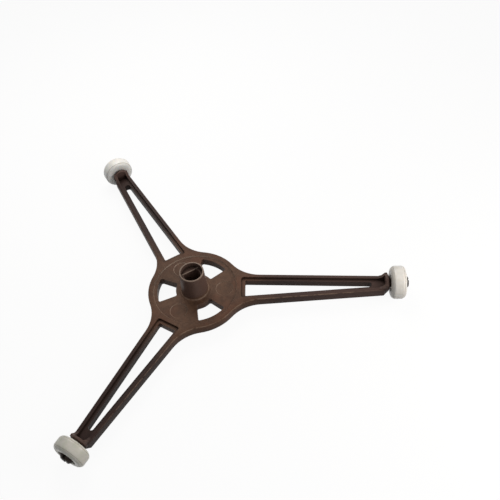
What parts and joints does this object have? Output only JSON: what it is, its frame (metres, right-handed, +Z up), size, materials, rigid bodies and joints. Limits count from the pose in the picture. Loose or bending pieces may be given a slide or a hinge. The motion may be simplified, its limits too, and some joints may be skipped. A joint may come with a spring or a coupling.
{
  "type": "microwave turntable roller support",
  "caption": "Y-shaped turntable roller support: slotted tapering arms around a pierced disc, a hub with a D-shaped drive socket, and free-running rollers snapped onto the arm ends.",
  "frame": {"origin": "on the drive axis, on the plane that the rollers stand on", "axes": "+Z up along the drive socket, out of its mouth; +X along the arm that carries roller_1"},
  "size_m": [0.1548, 0.1766, 0.0209],
  "materials": {
    "frame_plastic": "satin moulded thermoplastic, dark brown right through, with a fine even grain",
    "roller_plastic": "smooth ivory-white low-friction plastic, slightly waxy"
  },
  "bodies": {
    "frame": {"roller_frame": "frame_plastic"},
    "roller_a": {"roller_1": "roller_plastic"},
    "roller_b": {"roller_2": "roller_plastic"},
    "roller_c": {"roller_3": "roller_plastic"}
  },
  "joints": [
    {"name": "roller_1_spin", "type": "hinge", "parent": "frame", "child": "roller_a", "pos_m": [0.095, 0, 0.0077], "axis": [1, 0, 0], "continuous": true},
    {"name": "roller_2_spin", "type": "hinge", "parent": "frame", "child": "roller_b", "pos_m": [-0.0475, 0.08227, 0.0077], "axis": [-0.5, 0.866, 0], "continuous": true},
    {"name": "roller_3_spin", "type": "hinge", "parent": "frame", "child": "roller_c", "pos_m": [-0.0475, -0.08227, 0.0077], "axis": [-0.5, -0.866, 0], "continuous": true}
  ]
}
